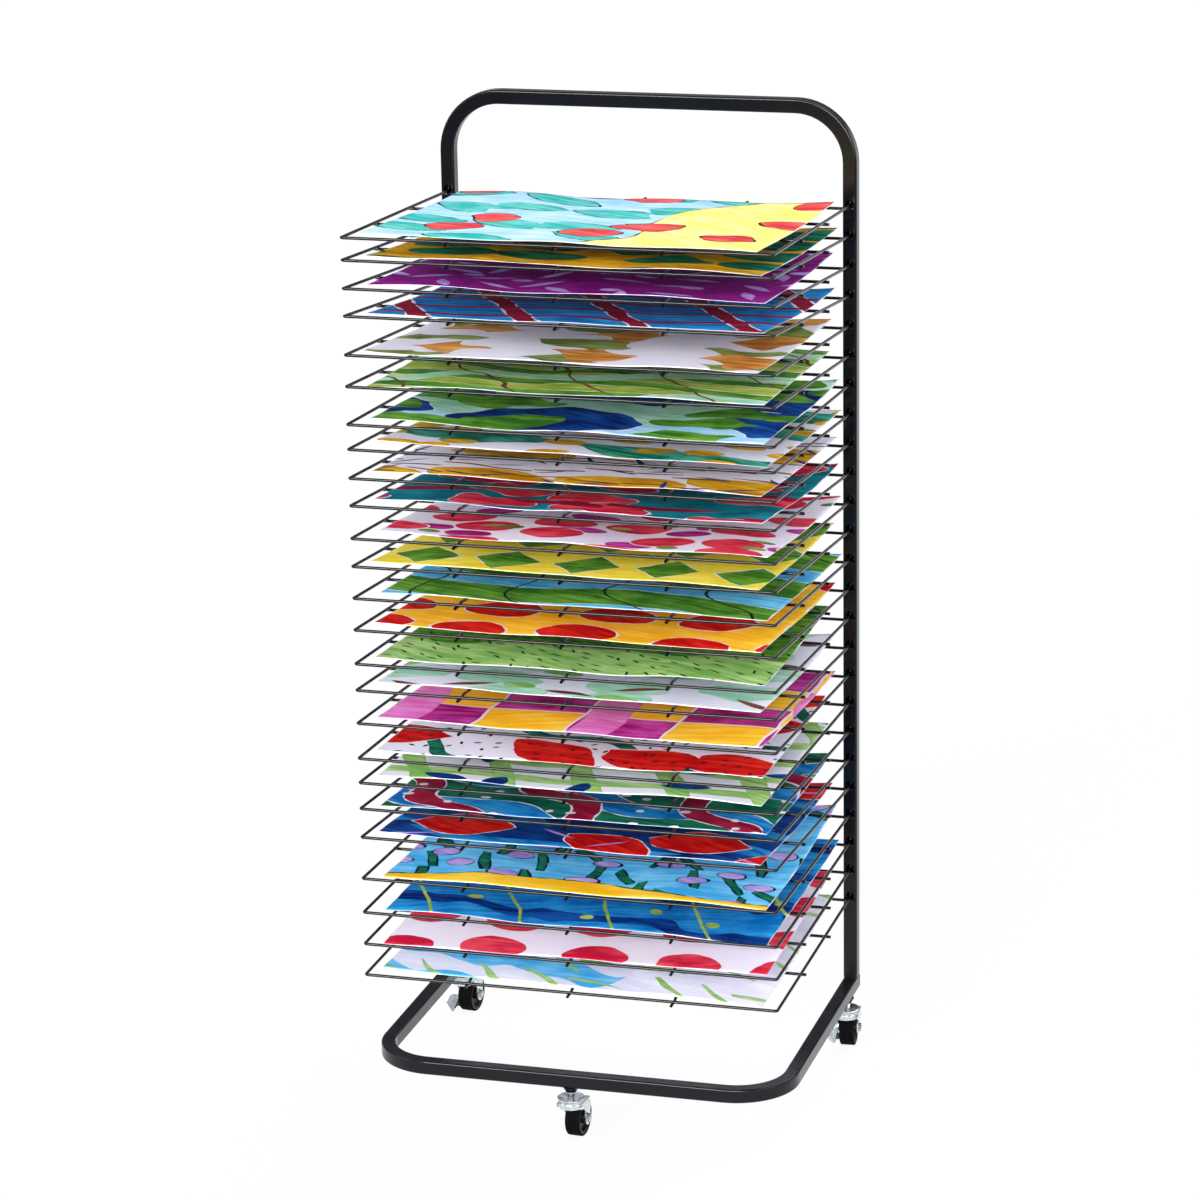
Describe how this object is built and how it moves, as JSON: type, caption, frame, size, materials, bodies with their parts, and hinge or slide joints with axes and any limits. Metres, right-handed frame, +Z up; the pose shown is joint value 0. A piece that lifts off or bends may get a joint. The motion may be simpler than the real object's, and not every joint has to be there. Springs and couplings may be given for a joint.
{
  "type": "art drying rack",
  "caption": "Wheeled art drying rack: a bent square-tube hoop on a U-shaped base carries a stack of lifting wire shelves for wet sheets, on swivel casters with foot brakes at the rear",
  "frame": {"origin": "on the floor under the middle of the rack: halfway between the uprights' outer faces and halfway between the shelves' front ends and the rear wheels", "axes": "+X is the rack's right as seen from the front, +Y points to the rear where the uprights stand, +Z is up"},
  "size_m": [0.4717, 0.3637, 1.0365],
  "materials": {
    "frame_paint": "satin black powder coat on bent steel tube",
    "shelf_wire": "semi-gloss black powder coat on round steel wire",
    "plug_plastic": "black moulded plastic",
    "zinc": "bright zinc plate on pressed steel",
    "wheel_plastic": "black moulded plastic",
    "tyre_rubber": "black solid tyre",
    "pad_rubber": "black moulded pad",
    "paper": "thick painting paper, painted on its upper side"
  },
  "bodies": {
    "frame": {"hoop_frame": "frame_paint", "base_frame": "frame_paint", "tube_end_plugs": "plug_plastic", "caster_bosses": "frame_paint", "caster_front_stem": "zinc", "caster_rear_left_stem": "zinc", "caster_rear_right_stem": "zinc"},
    "shelf_01": {"shelf_01": "shelf_wire", "sheet_01": "paper"},
    "shelf_02": {"shelf_02": "shelf_wire", "sheet_02": "paper"},
    "shelf_03": {"shelf_03": "shelf_wire", "sheet_03": "paper"},
    "shelf_04": {"shelf_04": "shelf_wire", "sheet_04": "paper"},
    "shelf_05": {"shelf_05": "shelf_wire", "sheet_05": "paper"},
    "shelf_06": {"shelf_06": "shelf_wire", "sheet_06": "paper"},
    "shelf_07": {"shelf_07": "shelf_wire", "sheet_07": "paper"},
    "shelf_08": {"shelf_08": "shelf_wire", "sheet_08": "paper"},
    "shelf_09": {"shelf_09": "shelf_wire", "sheet_09": "paper"},
    "shelf_10": {"shelf_10": "shelf_wire"},
    "shelf_11": {"shelf_11": "shelf_wire"},
    "shelf_12": {"shelf_12": "shelf_wire"},
    "shelf_13": {"shelf_13": "shelf_wire"},
    "shelf_14": {"shelf_14": "shelf_wire"},
    "shelf_15": {"shelf_15": "shelf_wire"},
    "shelf_16": {"shelf_16": "shelf_wire"},
    "shelf_17": {"shelf_17": "shelf_wire"},
    "shelf_18": {"shelf_18": "shelf_wire"},
    "shelf_19": {"shelf_19": "shelf_wire"},
    "shelf_20": {"shelf_20": "shelf_wire"},
    "shelf_21": {"shelf_21": "shelf_wire"},
    "shelf_22": {"shelf_22": "shelf_wire"},
    "shelf_23": {"shelf_23": "shelf_wire"},
    "shelf_24": {"shelf_24": "shelf_wire"},
    "shelf_25": {"shelf_25": "shelf_wire"},
    "caster_front_swivel": {"caster_front_fork": "zinc", "caster_front_axle_bolt": "zinc", "caster_front_axle_nut": "zinc"},
    "caster_front_wheel": {"caster_front_wheel_core": "wheel_plastic", "caster_front_tyre": "tyre_rubber"},
    "caster_rear_left_swivel": {"caster_rear_left_fork": "zinc", "caster_rear_left_axle_bolt": "zinc", "caster_rear_left_axle_nut": "zinc"},
    "caster_rear_left_wheel": {"caster_rear_left_wheel_core": "wheel_plastic", "caster_rear_left_tyre": "tyre_rubber"},
    "caster_rear_left_pedal": {"caster_rear_left_brake_pedal": "zinc", "caster_rear_left_brake_pad": "pad_rubber"},
    "caster_rear_right_swivel": {"caster_rear_right_fork": "zinc", "caster_rear_right_axle_bolt": "zinc", "caster_rear_right_axle_nut": "zinc"},
    "caster_rear_right_wheel": {"caster_rear_right_wheel_core": "wheel_plastic", "caster_rear_right_tyre": "tyre_rubber"},
    "caster_rear_right_pedal": {"caster_rear_right_brake_pedal": "zinc", "caster_rear_right_brake_pad": "pad_rubber"}
  },
  "joints": [
    {"name": "shelf_01_lift", "type": "hinge", "parent": "frame", "child": "shelf_01", "pos_m": [0, 0.1632, 0.92575], "axis": [-1, 0, 0], "range_deg": [0, 52]},
    {"name": "shelf_02_lift", "type": "hinge", "parent": "frame", "child": "shelf_02", "pos_m": [0, 0.1632, 0.89418], "axis": [-1, 0, 0], "range_deg": [0, 2.6]},
    {"name": "shelf_03_lift", "type": "hinge", "parent": "frame", "child": "shelf_03", "pos_m": [0, 0.1632, 0.86261], "axis": [-1, 0, 0], "range_deg": [0, 3.6]},
    {"name": "shelf_04_lift", "type": "hinge", "parent": "frame", "child": "shelf_04", "pos_m": [0, 0.1632, 0.83104], "axis": [-1, 0, 0], "range_deg": [0, 3.5]},
    {"name": "shelf_05_lift", "type": "hinge", "parent": "frame", "child": "shelf_05", "pos_m": [0, 0.1632, 0.79947], "axis": [-1, 0, 0], "range_deg": [0, 5.4]},
    {"name": "shelf_06_lift", "type": "hinge", "parent": "frame", "child": "shelf_06", "pos_m": [0, 0.1632, 0.7679], "axis": [-1, 0, 0], "range_deg": [0, 4.2]},
    {"name": "shelf_07_lift", "type": "hinge", "parent": "frame", "child": "shelf_07", "pos_m": [0, 0.1632, 0.73633], "axis": [-1, 0, 0], "range_deg": [0, 5.3]},
    {"name": "shelf_08_lift", "type": "hinge", "parent": "frame", "child": "shelf_08", "pos_m": [0, 0.1632, 0.70476], "axis": [-1, 0, 0], "range_deg": [0, 3.1]},
    {"name": "shelf_09_lift", "type": "hinge", "parent": "frame", "child": "shelf_09", "pos_m": [0, 0.1632, 0.67319], "axis": [-1, 0, 0], "range_deg": [0, 3.8]},
    {"name": "shelf_10_lift", "type": "hinge", "parent": "frame", "child": "shelf_10", "pos_m": [0, 0.1632, 0.64162], "axis": [-1, 0, 0], "range_deg": [0, 3.6]},
    {"name": "shelf_11_lift", "type": "hinge", "parent": "frame", "child": "shelf_11", "pos_m": [0, 0.1632, 0.61005], "axis": [-1, 0, 0], "range_deg": [0, 4.5]},
    {"name": "shelf_12_lift", "type": "hinge", "parent": "frame", "child": "shelf_12", "pos_m": [0, 0.1632, 0.57848], "axis": [-1, 0, 0], "range_deg": [0, 3.7]},
    {"name": "shelf_13_lift", "type": "hinge", "parent": "frame", "child": "shelf_13", "pos_m": [0, 0.1632, 0.54691], "axis": [-1, 0, 0], "range_deg": [0, 4.4]},
    {"name": "shelf_14_lift", "type": "hinge", "parent": "frame", "child": "shelf_14", "pos_m": [0, 0.1632, 0.51534], "axis": [-1, 0, 0], "range_deg": [0, 4.4]},
    {"name": "shelf_15_lift", "type": "hinge", "parent": "frame", "child": "shelf_15", "pos_m": [0, 0.1632, 0.48377], "axis": [-1, 0, 0], "range_deg": [0, 4.8]},
    {"name": "shelf_16_lift", "type": "hinge", "parent": "frame", "child": "shelf_16", "pos_m": [0, 0.1632, 0.4522], "axis": [-1, 0, 0], "range_deg": [0, 3.5]},
    {"name": "shelf_17_lift", "type": "hinge", "parent": "frame", "child": "shelf_17", "pos_m": [0, 0.1632, 0.42063], "axis": [-1, 0, 0], "range_deg": [0, 4.7]},
    {"name": "shelf_18_lift", "type": "hinge", "parent": "frame", "child": "shelf_18", "pos_m": [0, 0.1632, 0.38906], "axis": [-1, 0, 0], "range_deg": [0, 5.1]},
    {"name": "shelf_19_lift", "type": "hinge", "parent": "frame", "child": "shelf_19", "pos_m": [0, 0.1632, 0.35749], "axis": [-1, 0, 0], "range_deg": [0, 3.2]},
    {"name": "shelf_20_lift", "type": "hinge", "parent": "frame", "child": "shelf_20", "pos_m": [0, 0.1632, 0.32592], "axis": [-1, 0, 0], "range_deg": [0, 3.5]},
    {"name": "shelf_21_lift", "type": "hinge", "parent": "frame", "child": "shelf_21", "pos_m": [0, 0.1632, 0.29435], "axis": [-1, 0, 0], "range_deg": [0, 4]},
    {"name": "shelf_22_lift", "type": "hinge", "parent": "frame", "child": "shelf_22", "pos_m": [0, 0.1632, 0.26278], "axis": [-1, 0, 0], "range_deg": [0, 6.3]},
    {"name": "shelf_23_lift", "type": "hinge", "parent": "frame", "child": "shelf_23", "pos_m": [0, 0.1632, 0.23121], "axis": [-1, 0, 0], "range_deg": [0, 5]},
    {"name": "shelf_24_lift", "type": "hinge", "parent": "frame", "child": "shelf_24", "pos_m": [0, 0.1632, 0.19964], "axis": [-1, 0, 0], "range_deg": [0, 4.6]},
    {"name": "shelf_25_lift", "type": "hinge", "parent": "frame", "child": "shelf_25", "pos_m": [0, 0.1632, 0.16807], "axis": [-1, 0, 0], "range_deg": [0, 4.4]},
    {"name": "caster_front_turn", "type": "hinge", "parent": "frame", "child": "caster_front_swivel", "pos_m": [-0.003, -0.1645, 0.0465], "axis": [0, 0, 1], "continuous": true},
    {"name": "caster_front_roll", "type": "hinge", "parent": "caster_front_swivel", "child": "caster_front_wheel", "pos_m": [-0.00165, -0.14525, 0.02], "axis": [0.9976, -0.0698, 0], "continuous": true},
    {"name": "caster_rear_left_turn", "type": "hinge", "parent": "frame", "child": "caster_rear_left_swivel", "pos_m": [-0.2175, 0.143, 0.0465], "axis": [0, 0, 1], "continuous": true},
    {"name": "caster_rear_left_roll", "type": "hinge", "parent": "caster_rear_left_swivel", "child": "caster_rear_left_wheel", "pos_m": [-0.21548, 0.16219, 0.02], "axis": [0.9945, -0.1045, 0], "continuous": true},
    {"name": "caster_rear_left_brake", "type": "hinge", "parent": "caster_rear_left_swivel", "child": "caster_rear_left_pedal", "pos_m": [-0.21548, 0.16219, 0.02], "axis": [0.9945, -0.1045, 0], "range_deg": [-13, 0]},
    {"name": "caster_rear_right_turn", "type": "hinge", "parent": "frame", "child": "caster_rear_right_swivel", "pos_m": [0.2175, 0.143, 0.0465], "axis": [0, 0, 1], "continuous": true},
    {"name": "caster_rear_right_roll", "type": "hinge", "parent": "caster_rear_right_swivel", "child": "caster_rear_right_wheel", "pos_m": [0.21615, 0.16225, 0.02], "axis": [0.9976, 0.0698, 0], "continuous": true},
    {"name": "caster_rear_right_brake", "type": "hinge", "parent": "caster_rear_right_swivel", "child": "caster_rear_right_pedal", "pos_m": [0.21615, 0.16225, 0.02], "axis": [0.9976, 0.0698, 0], "range_deg": [0, 13]}
  ]
}
